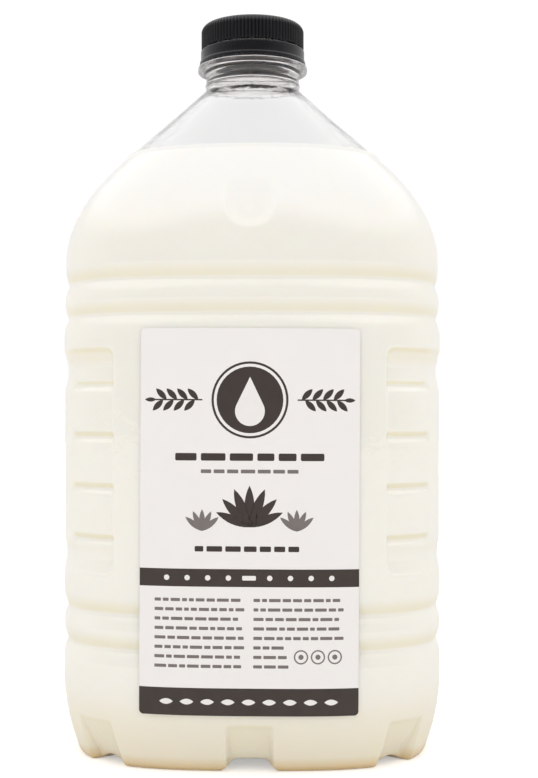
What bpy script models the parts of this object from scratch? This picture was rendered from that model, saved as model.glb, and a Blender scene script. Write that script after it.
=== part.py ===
"""A three-litre clear plastic milk jug, full of milk and shut with a ribbed screw cap.

Metres, +Z up. The origin is the middle of the base, on the surface the jug stands on, and the
label faces -Y. Every skin is a stack of level rings round the jug's upright axis.
"""

import math
from collections import namedtuple

import bmesh
import bpy

# The jug: a rounded oblong in plan, round at the neck.
BODY_HALF_WIDTH = 0.0716
BODY_HALF_DEPTH = 0.0585
NECK_RADIUS = 0.0181
BODY_SQUARENESS = 3.0
NECK_SQUARENESS = 2.0
WALL = 0.0023
TOUCH_GAP = 0.0004

# Foot: the side curves in from FOOT_TOP, then rolls under from FOOT_ROLL_TOP to the floor.
FOOT_TOP = 0.031
FOOT_CURVE_POWER = 2.1
FOOT_ROLL_TOP = 0.0035
FOOT_ROLL_INSET = 0.0048
FOOT_ROLL_CORNER = (0.0056, 0.0002)
FLOOR_EDGE_INSET = 0.0073
FLOOR_INNER_SCALE = 0.66
DOME_EDGE_SCALE = 0.56
DOME_EDGE_HEIGHT = 0.0040
DOME_MIDDLE_SCALE = 0.30
DOME_HEIGHT = 0.0085
DOME_PEAK = 0.0090
FOOT_RING_HEIGHTS = (0.0060, 0.0090, 0.0130, 0.0169, 0.0235)

# Eight notches part the base into feet: one mid-side on each side and one at each corner.
# Each has its angle from the X axis, its half-width at the floor, that of its level crest, and
# how high the crest clears the floor.
SIDE_NOTCH = (0.0, 0.0106, 0.0052, 0.0040)
CORNER_NOTCH = (38.3, 0.0096, 0.0, 0.0030)
FRONT_NOTCH = (90.0, 0.0106, 0.0052, 0.0040)
NOTCH_TOP = 0.0169
NOTCH_FULL_DEPTH_HEIGHT = 0.0040
NOTCH_DEPTH = 0.0036
NOTCH_HALF_WIDTH = 0.0076
NOTCH_SIDE_WALL = 0.0012

# The base's points crowd together over each notch: these angles, in degrees, bound the crowds.
SIDE_NOTCH_EDGE = 9.3
CORNER_NOTCH_EDGES = (29.3, 47.3)
FRONT_NOTCH_EDGE = 78.5

# Rings rolled in right round the body, two above the grips and two below.
GROOVE_HEIGHTS = (0.0425, 0.0550, 0.1615, 0.1740)
GROOVE_DEPTH = 0.0016
GROOVE_HALF_WIDTH = 0.0060
GROOVE_FLANK_POWER = 1.7

# Finger grips: a sunk panel on each side, ribbed near its corners, with a plain spine between.
# A valley, given by its height, half-width and depth, crosses each end of the panel.
GRIP_BOTTOM = 0.0685
GRIP_TOP = 0.1497
GRIP_EDGE_ANGLE = 47.2
GRIP_SPINE_ANGLE = 29.9
GRIP_CORNER_RADIUS = 0.004
GRIP_EDGE_WALL = 0.0014
GRIP_EDGE_TURN = 1.4
GRIP_PAD_DEPTH = 0.0006
GRIP_SPINE_DEPTH = 0.0003
GRIP_LOWEST_RIB = 0.0812
GRIP_RIB_SPACING = 0.0183
GRIP_RIB_COUNT = 4
GRIP_RIB_DEPTH = 0.0012
GRIP_RIB_HALF_WIDTH = 0.0022
GRIP_VALLEYS = ((0.0750, 0.0065, 0.0007), (0.1420, 0.0090, 0.0013))

# Shoulder: a parabola in profile, then a straight cone up to the neck.
SHOULDER_START = 0.1820
SHOULDER_HALF_WIDTH = 0.0710
CONE_START = 0.2230
CONE_SLOPE = 1.08
NECK_FILLET = 0.0019
SHOULDER_RING_HEIGHTS = (0.1865, 0.1955, 0.2000, 0.2050, 0.2170, 0.2320, 0.2420)

# A thumb mark pressed into the shoulder, front and back.
DENT_BOTTOM = 0.1914
DENT_TOP = 0.2100
DENT_HALF_WIDTH = 0.0090
DENT_DEPTH = 0.0018
DENT_FLOOR_POWER = 0.6
DENT_WALL = 0.0016
DENT_ANGLES = (81.2, 82.9, 86.2, 90.0)

# Neck, with the carrying ring under the cap.
BORE_RADIUS = 0.0158
FINISH_RADIUS = 0.0174
RING_SKIRT = 0.2574
RING_UNDERSIDE = 0.2588
RING_TOP = 0.2608
RING_RADIUS = 0.0213
RING_BEVEL = 0.0004
RIM_HEIGHT = 0.2751
RIM_BEVEL = 0.0004

# The smooth inside: a low dome, a round corner of (inset, rise over the floor), then the side.
INNER_FLOOR = 0.0062
INNER_DOME_RISE = 0.0045
INNER_DOME_SCALE = 0.35
INNER_PEAK_RISE = 0.0048
INNER_CORNER = ((0.0120, 0.0002), (0.0078, 0.0030), (0.0045, 0.0083))
INNER_SIDE_TOP = 0.1640
INNER_SHOULDER_HEIGHTS = (0.182, 0.192, 0.203, 0.214, 0.223, 0.242)
BORE_FOOT = 0.2505

# Milk stands up to here, with no room left between it and the plastic.
FILL_HEIGHT = 0.2230

# Cap and the tamper band under it.
CAP_BOTTOM = 0.2676
CAP_TOP = 0.2770
CAP_RIB_TOP = 0.2748
CAP_ROLL_HEIGHT = 0.2763
CAP_ROLL_RADIUS = 0.0189
CAP_FACE_RADIUS = 0.0174
CAP_RIB_COUNT = 90
CAP_RIB_RADIUS = 0.0199
CAP_VALLEY_RADIUS = 0.0194
CAP_BORE_RADIUS = 0.0182
CAP_CEILING = RIM_HEIGHT + TOUCH_GAP
BAND_TOP = CAP_BOTTOM - TOUCH_GAP
BAND_BOTTOM = RING_TOP + TOUCH_GAP
BAND_TOP_RADIUS = 0.0201
BAND_FOOT_RADIUS = 0.0206
BAND_BORE_RADIUS = 0.0186
BAND_BEVEL = 0.0005

# Paper label on the front.
LABEL_WIDTH = 0.0768
LABEL_HEIGHT = 0.1350
LABEL_BOTTOM = 0.0210
LABEL_CORNER = 0.0015
LABEL_THICKNESS = 0.0003
LABEL_GAP = 0.0003
LABEL_TILT = math.radians(0.3)
LABEL_SPANS = 12

ROUND_POINTS = 48
INNER_POINTS = 36

Ring = namedtuple("Ring", "height half_width half_depth squareness")


def spread(start, end, spans):
    """Evenly spaced values from start to end, both included."""
    return [start + (end - start) * i / spans for i in range(spans + 1)]


def ease(value):
    """A smooth step from 0 to 1."""
    value = min(1.0, max(0.0, value))
    return value * value * (3 - 2 * value)


def whole_turn(quarter):
    """Angles in degrees over a quarter turn, from 0 to 90, mirrored into a whole turn in radians."""
    half = quarter + [180 - angle for angle in reversed(quarter[:-1])]
    return [math.radians(angle) for angle in half + [180 + angle for angle in half[1:-1]]]


def even_turn(points):
    return [2 * math.pi * i / points for i in range(points)]


def from_side(angle):
    """The angle to the nearer end of the X axis, in degrees: 0 mid-side, 90 mid-front."""
    return math.degrees(math.atan2(abs(math.sin(angle)), abs(math.cos(angle))))


def ring(height, half_width, inset=0.0):
    """A level ring. The section turns from round to oblong as the jug widens below its neck."""
    share = (half_width - NECK_RADIUS) / (BODY_HALF_WIDTH - NECK_RADIUS)
    half_depth = NECK_RADIUS + share * (BODY_HALF_DEPTH - NECK_RADIUS)
    squareness = NECK_SQUARENESS + share * (BODY_SQUARENESS - NECK_SQUARENESS)
    return Ring(height, half_width - inset, half_depth - inset, squareness)


def scaled_ring(height, inset, scale):
    """A ring of the base: the body's section brought in, then shrunk towards the axis."""
    base = ring(height, BODY_HALF_WIDTH, inset)
    return Ring(height, base.half_width * scale, base.half_depth * scale, base.squareness)


def round_ring(height, radius):
    return Ring(height, radius, radius, NECK_SQUARENESS)


def reach(section, angle):
    """How far a ring lies from the axis at an angle."""
    across = abs(math.cos(angle)) / section.half_width
    along = abs(math.sin(angle)) / section.half_depth
    power = section.squareness
    return (across**power + along**power) ** (-1 / power)


def foot_inset(height):
    """The curve that brings the side in from FOOT_TOP to the roll at the floor."""
    drop = (FOOT_TOP - height) / (FOOT_TOP - FOOT_ROLL_TOP)
    return FOOT_ROLL_INSET * max(0.0, drop) ** FOOT_CURVE_POWER


def foot_roll(share):
    """Inset and height on the quadratic curve from the floor, at 0, up to the side, at 1."""
    corner_inset, corner_height = FOOT_ROLL_CORNER
    low, middle, high = (1 - share) ** 2, 2 * share * (1 - share), share**2
    inset = low * FLOOR_EDGE_INSET + middle * corner_inset + high * FOOT_ROLL_INSET
    return inset, middle * corner_height + high * FOOT_ROLL_TOP


def shoulder_half_width(height):
    rise = CONE_START - SHOULDER_START
    below = min(max(height - SHOULDER_START, 0.0), rise)
    above = max(height - CONE_START, 0.0)
    return SHOULDER_HALF_WIDTH - CONE_SLOPE * (below**2 / (2 * rise) + above)


def body_half_width(height):
    """The plain side between foot and shoulder, which leans in a little towards the shoulder."""
    lean = ease((height - GRIP_TOP) / (SHOULDER_START - GRIP_TOP))
    return BODY_HALF_WIDTH - lean * (BODY_HALF_WIDTH - SHOULDER_HALF_WIDTH)


def hump(offset, half_width):
    """A cosine swell: 1 in the middle and 0 from half_width out."""
    share = min(1.0, abs(offset) / half_width)
    return (1 + math.cos(math.pi * share)) / 2


def groove_inset(height):
    """A crease right round the body at each of the groove heights, its flanks curving out of it."""
    shares = [max(0.0, 1 - abs(height - middle) / GROOVE_HALF_WIDTH) for middle in GROOVE_HEIGHTS]
    return GROOVE_DEPTH * sum(share**GROOVE_FLANK_POWER for share in shares)


def grip_depth(angle, height):
    """How far the grip panels sink the side of the jug."""
    from_edge = math.radians(GRIP_EDGE_ANGLE - from_side(angle)) * BODY_HALF_WIDTH
    from_end = min(height - GRIP_BOTTOM, GRIP_TOP - height)
    inside = min(from_edge, from_end)
    if from_edge < GRIP_CORNER_RADIUS and from_end < GRIP_CORNER_RADIUS:
        corner = math.hypot(GRIP_CORNER_RADIUS - from_edge, GRIP_CORNER_RADIUS - from_end)
        inside = GRIP_CORNER_RADIUS - corner
    floor = GRIP_SPINE_DEPTH
    if from_side(angle) > GRIP_SPINE_ANGLE:
        nearest = round((height - GRIP_LOWEST_RIB) / GRIP_RIB_SPACING)
        nearest = min(GRIP_RIB_COUNT - 1, max(0, nearest))
        offset = abs(height - GRIP_LOWEST_RIB - nearest * GRIP_RIB_SPACING)
        rib = GRIP_RIB_DEPTH * max(0.0, 1 - offset / GRIP_RIB_HALF_WIDTH)
        floor = GRIP_PAD_DEPTH + rib
    sunk = ease(inside / GRIP_EDGE_WALL) * floor
    for middle, half_width, depth in GRIP_VALLEYS:
        sunk += ease(from_edge / GRIP_EDGE_WALL) * depth * hump(height - middle, half_width)
    return sunk


def dent_depth(angle, height, distance):
    """The thumb mark: a U with a round bottom, its floor cut flat across the shoulder's curve."""
    middle = DENT_BOTTOM + DENT_HALF_WIDTH
    across = distance * math.cos(angle)
    inside = DENT_HALF_WIDTH - math.hypot(across, min(0.0, height - middle))
    share = min(1.0, max(0.0, (height - DENT_BOTTOM) / (DENT_TOP - DENT_BOTTOM)))
    floor = max(0.0, math.sin(math.pi * share)) ** DENT_FLOOR_POWER
    return DENT_DEPTH * ease(inside / DENT_WALL) * floor


def notch_relief(angle, height, distance):
    """How deep the nearest notch sinks the side here, and how high it lifts the base."""
    side = from_side(angle)
    nearest = min((SIDE_NOTCH, CORNER_NOTCH, FRONT_NOTCH), key=lambda notch: abs(side - notch[0]))
    middle, floor_half, crest_half, clearance = nearest
    sideways = distance * math.sin(math.radians(abs(side - middle)))
    down = (NOTCH_TOP - height) / (NOTCH_TOP - NOTCH_FULL_DEPTH_HEIGHT)
    across = (NOTCH_HALF_WIDTH + NOTCH_SIDE_WALL - sideways) / NOTCH_SIDE_WALL
    depth = NOTCH_DEPTH * min(1.0, max(0.0, down)) * ease(across)
    return depth, clearance * ease((floor_half - sideways) / (floor_half - crest_half))


def outer_point(section, angle):
    """A point of the jug's outside, with the relief pressed into the plain ring."""
    distance = reach(section, angle)
    height = section.height
    sunk = grip_depth(angle, height) + dent_depth(angle, height, distance)
    if height < NOTCH_TOP:
        depth, crest = notch_relief(angle, height, distance)
        sunk += depth
        height = max(height, crest)
    distance -= sunk
    return distance * math.cos(angle), distance * math.sin(angle), height


def plain_point(section, angle):
    distance = reach(section, angle)
    return distance * math.cos(angle), distance * math.sin(angle), section.height


def add_ring(mesh, section, angles, place=plain_point):
    """Adds a ring's points and gives them as (angle, point) pairs."""
    return [(angle, mesh.verts.new(place(section, angle))) for angle in angles]


def stitch(mesh, first, second):
    """Joins two rings, which may hold different numbers of points, in order of their angles."""
    i = j = 0
    while i < len(first) or j < len(second):
        here, there = first[i % len(first)][1], second[j % len(second)][1]
        next_here, next_there = first[(i + 1) % len(first)], second[(j + 1) % len(second)]
        turn_here = next_here[0] if i + 1 < len(first) else 2 * math.pi
        turn_there = next_there[0] if j + 1 < len(second) else 2 * math.pi
        step_here = j == len(second) or (i < len(first) and turn_here <= turn_there + 1e-9)
        step_there = i == len(first) or (j < len(second) and turn_there <= turn_here + 1e-9)
        corners = [here]
        if step_here:
            corners.append(next_here[1])
            i += 1
        if step_there:
            corners.append(next_there[1])
            j += 1
        mesh.faces.new(corners + [there])


def close_ring(mesh, points, height):
    """Fills a ring with a fan round a point on the axis."""
    middle = mesh.verts.new((0, 0, height))
    for i, (_, here) in enumerate(points):
        mesh.faces.new((here, points[(i + 1) % len(points)][1], middle))


def stack(mesh, rings):
    for first, second in zip(rings, rings[1:]):
        stitch(mesh, first, second)


def finish_solid(name, mesh, colour, roughness, transmission=0.0, smooth_below=40):
    """Turns a closed skin into a shaded object with its own material."""
    bmesh.ops.recalc_face_normals(mesh, faces=mesh.faces)
    data = bpy.data.meshes.new(name)
    mesh.to_mesh(data)
    mesh.free()
    data.shade_smooth()
    data.set_sharp_from_angle(angle=math.radians(smooth_below))
    material = bpy.data.materials.new(name)
    material.use_nodes = True
    shader = material.node_tree.nodes["Principled BSDF"]
    shader.inputs["Base Color"].default_value = (*colour, 1)
    shader.inputs["Roughness"].default_value = roughness
    shader.inputs["Metallic"].default_value = 0.0
    shader.inputs["Transmission Weight"].default_value = transmission
    data.materials.append(material)
    solid = bpy.data.objects.new(name, data)
    bpy.context.scene.collection.objects.link(solid)
    return solid


def foot_angles():
    """Points round the base, close together at the sides of each notch."""
    corner_start, corner_end = CORNER_NOTCH_EDGES
    side_notch = spread(0, SIDE_NOTCH_EDGE, 3)
    outer_foot = spread(SIDE_NOTCH_EDGE, corner_start, 4)[1:-1]
    corner_notch = spread(corner_start, corner_end, 6)
    front_foot = spread(corner_end, FRONT_NOTCH_EDGE, 5)[1:-1]
    front_notch = spread(FRONT_NOTCH_EDGE, 90, 4)
    return whole_turn(side_notch + outer_foot + corner_notch + front_foot + front_notch)


def body_angles():
    """Points round the body, with a pair at each upright edge of the grips."""
    spine = spread(0, GRIP_SPINE_ANGLE - GRIP_EDGE_TURN, 3)
    ribbed = spread(GRIP_SPINE_ANGLE + GRIP_EDGE_TURN, GRIP_EDGE_ANGLE - GRIP_EDGE_TURN, 3)
    front = spread(GRIP_EDGE_ANGLE, 90, 5)
    return whole_turn(spine + ribbed + front)


def shoulder_angles():
    """Points round the shoulder, close together at the thumb marks."""
    return whole_turn(spread(0, DENT_ANGLES[0], 9) + list(DENT_ANGLES[1:]))


def foot_rings(mesh):
    angles = foot_angles()
    curve = [scaled_ring(DOME_HEIGHT, FLOOR_EDGE_INSET, DOME_MIDDLE_SCALE)]
    curve.append(scaled_ring(DOME_EDGE_HEIGHT, FLOOR_EDGE_INSET, DOME_EDGE_SCALE))
    curve.append(scaled_ring(0, FLOOR_EDGE_INSET, FLOOR_INNER_SCALE))
    for share in spread(0, 1, 3):
        inset, height = foot_roll(share)
        curve.append(ring(height, BODY_HALF_WIDTH, inset))
    for height in FOOT_RING_HEIGHTS:
        curve.append(ring(height, BODY_HALF_WIDTH, foot_inset(height)))
    return [add_ring(mesh, section, angles, outer_point) for section in curve]


def body_heights():
    """Heights for the rings of the body: five in each groove, three in each grip rib."""
    heights = [FOOT_TOP]
    for middle in GROOVE_HEIGHTS:
        heights += spread(middle - GROOVE_HALF_WIDTH, middle + GROOVE_HALF_WIDTH, 4)
    for i in range(GRIP_RIB_COUNT):
        middle = GRIP_LOWEST_RIB + i * GRIP_RIB_SPACING
        heights += spread(middle - GRIP_RIB_HALF_WIDTH, middle + GRIP_RIB_HALF_WIDTH, 2)
    for end, inward in ((GRIP_BOTTOM, 1), (GRIP_TOP, -1)):
        heights += [end, end + inward * GRIP_EDGE_WALL, end + inward * GRIP_CORNER_RADIUS]
    heights += [middle for middle, _, _ in GRIP_VALLEYS]
    return sorted(heights)


def body_rings(mesh):
    angles = body_angles()
    rings = []
    for height in body_heights():
        section = ring(height, body_half_width(height), groove_inset(height))
        rings.append(add_ring(mesh, section, angles, outer_point))
    return rings


def shoulder_heights():
    """Heights for the rings of the shoulder, closer together over the thumb marks."""
    dent = [DENT_BOTTOM, DENT_BOTTOM + DENT_WALL, DENT_BOTTOM + DENT_HALF_WIDTH, DENT_TOP]
    return sorted([SHOULDER_START, CONE_START] + dent + list(SHOULDER_RING_HEIGHTS))


def fillet_points():
    """Radius and height of three points where the cone turns into the upright neck."""
    joint = CONE_START + (shoulder_half_width(CONE_START) - NECK_RADIUS) / CONE_SLOPE
    low = joint - NECK_FILLET / math.hypot(1, CONE_SLOPE)
    low_radius = NECK_RADIUS + (joint - low) * CONE_SLOPE
    high = joint + NECK_FILLET
    middle_radius = (low_radius + 3 * NECK_RADIUS) / 4
    middle = (low + 2 * joint + high) / 4
    return [(low_radius, low), (middle_radius, middle), (NECK_RADIUS, high)]


def shoulder_rings(mesh):
    angles = shoulder_angles()
    rings = []
    for height in shoulder_heights():
        section = ring(height, shoulder_half_width(height))
        rings.append(add_ring(mesh, section, angles, outer_point))
    return rings


def neck_rings(mesh):
    """The neck from the fillet up, over the carrying ring and the rim, and down the bore."""
    outline = fillet_points()
    outline.append((NECK_RADIUS, RING_SKIRT))
    outline.append((RING_RADIUS - RING_BEVEL, RING_UNDERSIDE))
    outline.append((RING_RADIUS, RING_UNDERSIDE + RING_BEVEL))
    outline.append((RING_RADIUS, RING_TOP - RING_BEVEL))
    outline.append((RING_RADIUS - RING_BEVEL, RING_TOP))
    outline.append((FINISH_RADIUS, RING_TOP))
    outline.append((FINISH_RADIUS, RIM_HEIGHT - RIM_BEVEL))
    outline.append((FINISH_RADIUS - RIM_BEVEL, RIM_HEIGHT))
    outline.append((BORE_RADIUS, RIM_HEIGHT))
    angles = even_turn(ROUND_POINTS)
    return [add_ring(mesh, round_ring(height, radius), angles) for radius, height in outline]


def inside_sections(gap, top):
    """The jug's smooth inside from its floor up to a height, brought in by a further gap."""
    floor = INNER_FLOOR + gap
    inset, _ = INNER_CORNER[0]
    sections = [scaled_ring(floor + INNER_DOME_RISE, inset + gap, INNER_DOME_SCALE)]
    for inset, rise in INNER_CORNER:
        sections.append(ring(floor + rise, BODY_HALF_WIDTH, inset + gap))
    sections.append(ring(FOOT_TOP, BODY_HALF_WIDTH, WALL + gap))
    sections.append(ring(INNER_SIDE_TOP, BODY_HALF_WIDTH, WALL + gap))
    slant = math.hypot(1, CONE_SLOPE)
    for height in INNER_SHOULDER_HEIGHTS:
        if height <= top:
            steep = min(1.0, (height - SHOULDER_START) / (CONE_START - SHOULDER_START))
            inset = (WALL + gap) * (1 + steep * (slant - 1))
            sections.append(ring(height, shoulder_half_width(height), inset))
    return sections


def make_bottle():
    mesh = bmesh.new()
    outside = foot_rings(mesh) + body_rings(mesh) + shoulder_rings(mesh) + neck_rings(mesh)
    angles = even_turn(INNER_POINTS)
    inside = [add_ring(mesh, section, angles) for section in inside_sections(0.0, RIM_HEIGHT)]
    bore_foot = add_ring(mesh, round_ring(BORE_FOOT, BORE_RADIUS), angles)
    stack(mesh, outside + [bore_foot] + inside[::-1])
    close_ring(mesh, outside[0], DOME_PEAK)
    close_ring(mesh, inside[0], INNER_FLOOR + INNER_PEAK_RISE)
    return finish_solid("bottle", mesh, (0.92, 0.93, 0.93), 0.06, transmission=1.0)


def make_milk():
    mesh = bmesh.new()
    angles = even_turn(INNER_POINTS)
    rings = [add_ring(mesh, section, angles) for section in inside_sections(TOUCH_GAP, FILL_HEIGHT)]
    stack(mesh, rings)
    close_ring(mesh, rings[0], INNER_FLOOR + TOUCH_GAP + INNER_PEAK_RISE)
    close_ring(mesh, rings[-1], FILL_HEIGHT)
    return finish_solid("milk", mesh, (0.88, 0.85, 0.78), 0.35)


def rib_point(section, angle):
    """A point of the cap's grip: every second one lies in a valley."""
    step = round(angle / (math.pi / CAP_RIB_COUNT))
    distance = section.half_width if step % 2 == 0 else CAP_VALLEY_RADIUS
    return distance * math.cos(angle), distance * math.sin(angle), section.height


def make_cap():
    mesh = bmesh.new()
    plain = even_turn(ROUND_POINTS)
    ribbed = even_turn(2 * CAP_RIB_COUNT)
    rings = [
        add_ring(mesh, round_ring(CAP_CEILING, CAP_BORE_RADIUS), plain),
        add_ring(mesh, round_ring(CAP_BOTTOM, CAP_BORE_RADIUS), plain),
        add_ring(mesh, round_ring(CAP_BOTTOM, CAP_RIB_RADIUS), ribbed, rib_point),
        add_ring(mesh, round_ring(CAP_RIB_TOP, CAP_RIB_RADIUS), ribbed, rib_point),
        add_ring(mesh, round_ring(CAP_ROLL_HEIGHT, CAP_ROLL_RADIUS), plain),
        add_ring(mesh, round_ring(CAP_TOP, CAP_FACE_RADIUS), plain),
    ]
    stack(mesh, rings)
    close_ring(mesh, rings[0], CAP_CEILING)
    close_ring(mesh, rings[-1], CAP_TOP)
    return finish_solid("cap", mesh, (0.012, 0.011, 0.014), 0.38, smooth_below=25)


def make_tamper_band():
    outline = [
        (BAND_BORE_RADIUS, BAND_TOP),
        (BAND_TOP_RADIUS - BAND_BEVEL, BAND_TOP),
        (BAND_TOP_RADIUS, BAND_TOP - BAND_BEVEL),
        (BAND_FOOT_RADIUS, BAND_BOTTOM + BAND_BEVEL),
        (BAND_FOOT_RADIUS - BAND_BEVEL, BAND_BOTTOM),
        (BAND_BORE_RADIUS, BAND_BOTTOM),
    ]
    mesh = bmesh.new()
    angles = even_turn(ROUND_POINTS)
    rings = [add_ring(mesh, round_ring(height, radius), angles) for radius, height in outline]
    stack(mesh, rings + [rings[0]])
    return finish_solid("tamper_band", mesh, (0.014, 0.013, 0.016), 0.34)


def label_point(across, up, lift):
    """A point of the label, laid tilted on the jug's front, this far off the plastic."""
    middle = LABEL_BOTTOM + LABEL_HEIGHT / 2
    x = across * math.cos(LABEL_TILT) + up * math.sin(LABEL_TILT)
    z = middle - across * math.sin(LABEL_TILT) + up * math.cos(LABEL_TILT)
    share = abs(x / BODY_HALF_WIDTH) ** BODY_SQUARENESS
    front = BODY_HALF_DEPTH * (1 - share) ** (1 / BODY_SQUARENESS)
    return x, -front - lift, z


def make_label():
    half_width = LABEL_WIDTH / 2
    rounded = [half_width - LABEL_CORNER * (1 - math.cos(math.radians(turn))) for turn in (0, 45)]
    flat = spread(half_width - LABEL_CORNER, LABEL_CORNER - half_width, LABEL_SPANS)
    across = rounded + flat + [-x for x in reversed(rounded)]
    mesh = bmesh.new()
    loops = []
    for x in across:
        into_corner = max(0.0, LABEL_CORNER - (half_width - abs(x)))
        cut = LABEL_CORNER - math.sqrt(LABEL_CORNER**2 - into_corner**2)
        up = LABEL_HEIGHT / 2 - cut
        corners = ((up, 0.0), (-up, 0.0), (-up, LABEL_THICKNESS), (up, LABEL_THICKNESS))
        loops.append([mesh.verts.new(label_point(x, z, LABEL_GAP + lift)) for z, lift in corners])
    for first, second in zip(loops, loops[1:]):
        for i in range(4):
            j = (i + 1) % 4
            mesh.faces.new((first[i], first[j], second[j], second[i]))
    mesh.faces.new(loops[0])
    mesh.faces.new(loops[-1])
    return finish_solid("label", mesh, (0.87, 0.84, 0.82), 0.55)


def main():
    for old in list(bpy.data.objects):
        bpy.data.objects.remove(old, do_unlink=True)
    jug = bpy.data.objects.new("jug", None)
    bpy.context.scene.collection.objects.link(jug)
    for solid in (make_bottle(), make_milk(), make_cap(), make_tamper_band(), make_label()):
        solid.parent = jug


main()
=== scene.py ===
import math

import bmesh
import bpy
import numpy as np
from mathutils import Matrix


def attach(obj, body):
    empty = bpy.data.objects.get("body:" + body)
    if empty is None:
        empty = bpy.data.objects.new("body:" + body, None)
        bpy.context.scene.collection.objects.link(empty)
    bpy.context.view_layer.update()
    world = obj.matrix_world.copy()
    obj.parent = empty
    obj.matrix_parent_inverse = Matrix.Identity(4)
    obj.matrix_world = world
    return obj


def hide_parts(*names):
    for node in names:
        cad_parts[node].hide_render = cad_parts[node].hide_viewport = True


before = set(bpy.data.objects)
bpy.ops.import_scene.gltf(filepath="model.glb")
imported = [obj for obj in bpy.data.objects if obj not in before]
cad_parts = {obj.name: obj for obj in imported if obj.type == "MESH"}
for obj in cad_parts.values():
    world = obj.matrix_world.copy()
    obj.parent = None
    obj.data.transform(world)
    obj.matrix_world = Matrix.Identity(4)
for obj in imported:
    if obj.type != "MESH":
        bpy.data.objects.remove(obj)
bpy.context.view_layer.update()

# A three-litre clear plastic milk jug, full of milk and shut with a ribbed screw cap.
# Metres, +Z up, label towards -Y. The forms are the solids' own, drawn finer and rounder.

# The jug in plan: a rounded oblong that turns round towards the neck.
BODY_HALF_WIDTH = 0.0716
BODY_HALF_DEPTH = 0.0585
NECK_RADIUS = 0.0181
BODY_SQUARENESS = 3.0
NECK_SQUARENESS = 2.0
BLOWN_WALL = 0.0006
MILK_INTO_WALL = 0.00030

# How closely the outside is drawn: plain stretches, and the stretches with relief. The last four
# say how far a fine stretch runs past a groove, a rib, a grip's end and each end of the thumb mark.
COARSE_TURN = 1.35
FINE_TURN = 0.4
FINE_TURNS = ((5.4, 7.6), (28.4, 33.0), (43.6, 48.0), (80.6, 83.4), (89.0, 90.0))
COARSE_HEIGHT = 0.0018
FINE_HEIGHT = 0.00065
GROOVE_FINE = 0.0030
RIB_FINE = 0.0026
GRIP_END_FINE = (0.0006, 0.0042)
DENT_ENDS_FINE = (0.0006, 0.0061, 0.0020, 0.0004)

# The foot's curves and the dome under the base.
FOOT_TOP = 0.031
FOOT_CURVE_POWER = 2.1
FOOT_ROLL_TOP = 0.0035
FOOT_ROLL_INSET = 0.0048
FOOT_ROLL_CORNER = (0.0056, 0.0002)
FLOOR_EDGE_INSET = 0.0073
FLOOR_INNER_SCALE = 0.66
DOME_PEAK = 0.0088
DOME_POWER = 3.0
GATE_NUB_SCALE = 0.035
GATE_NUB_DROP = 0.0007
GATE_NUB_ROUNDING = 0.012
DOME_SCALES = (0.006, 0.02, GATE_NUB_SCALE, 0.05, 0.1, 0.18, 0.26, 0.34, 0.42, 0.48, 0.53, 0.58, 0.62)
FLAT_SCALES = (FLOOR_INNER_SCALE, 0.70, 0.76, 0.82, 0.88, 0.94, 0.98)

# Notches between the feet: angle from the X axis, half-width at the floor and at the crest,
# and how far the crest clears the floor.
NOTCHES = (
    (0.0, 0.0106, 0.0052, 0.0040),
    (38.3, 0.0096, 0.0, 0.0030),
    (90.0, 0.0106, 0.0052, 0.0040),
)
NOTCH_TOP = 0.0169
NOTCH_FULL_DEPTH_HEIGHT = 0.0040
NOTCH_DEPTH = 0.0036
NOTCH_HALF_WIDTH = 0.0072
NOTCH_SIDE_WALL = 0.0014
NOTCH_TOP_WALL = 0.0009
NOTCH_CREST_ROUNDING = 0.0009
NOTCH_ROOF_SHARE = 0.14
NOTCH_TOP_FINE = 0.0012

GROOVE_HEIGHTS = (0.0425, 0.0550, 0.1615, 0.1740)
GROOVE_DEPTH = 0.0016
GROOVE_HALF_WIDTH = 0.0060
GROOVE_FLANK_POWER = 1.7
GROOVE_CREASE_ROUNDING = 0.00035

# Finger grips in the two narrow sides.
GRIP_BOTTOM = 0.0685
GRIP_TOP = 0.1497
GRIP_EDGE_ANGLE = 47.2
GRIP_SPINE_ANGLE = 29.9
GRIP_SPINE_BLEND = 1.3
GRIP_CORNER_RADIUS = 0.004
GRIP_EDGE_WALL = 0.0014
GRIP_PAD_DEPTH = 0.0006
GRIP_SPINE_DEPTH = 0.0003
GRIP_RIBS = (0.0812, 0.0995, 0.1178, 0.1361)
GRIP_RIB_DEPTH = 0.0012
GRIP_RIB_HALF_WIDTH = 0.0022
GRIP_VALLEYS = ((0.0750, 0.0065, 0.0007), (0.1420, 0.0090, 0.0013))

# Shoulder, cone and thumb mark.
SHOULDER_START = 0.1820
SHOULDER_HALF_WIDTH = 0.0710
CONE_START = 0.2230
CONE_SLOPE = 1.08
NECK_FILLET = 0.0019
DENT_BOTTOM = 0.1914
DENT_TOP = 0.2100
DENT_HALF_WIDTH = 0.0090
DENT_CUT = 0.0008
DENT_STEP = 0.0004
DENT_WALL = 0.0024
SEAM_START = 0.1870
SEAM_HEIGHT = 0.00012
NECK_SEAM_HEIGHT = 0.00025
SEAM_HALF_WIDTH = 0.0006
SEAM_RISE = 0.006
NECK_SEAM_START = 0.2490
NECK_SEAM_RISE = 0.003
SEAM_END_RISE = 0.002

# Neck and carrying ring.
BORE_RADIUS = 0.0158
FINISH_RADIUS = 0.0174
NECK_BEAD = (0.2536, 0.00035, 0.0006)
RING_SKIRT = 0.2574
SKIRT_ROUNDING = 0.0006
RING_UNDERSIDE = 0.2588
RING_TOP = 0.2608
RING_RADIUS = 0.0213
RING_EDGE = 0.0005
FINISH_FILLET = 0.0004
RIM_HEIGHT = 0.2751
RIM_ROUNDING = 0.0005
BORE_CHAMFER = 0.0004
BORE_HEIGHTS = (0.2700, 0.2640, 0.2600)
BORE_FOOT = 0.2572
THIN_NECK_WALL = 0.0009
THIN_NECK_TOP = 0.2545
THIN_NECK_ROUNDING = 0.0008
BLOWN_WALL_TOP = 0.2484

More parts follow.
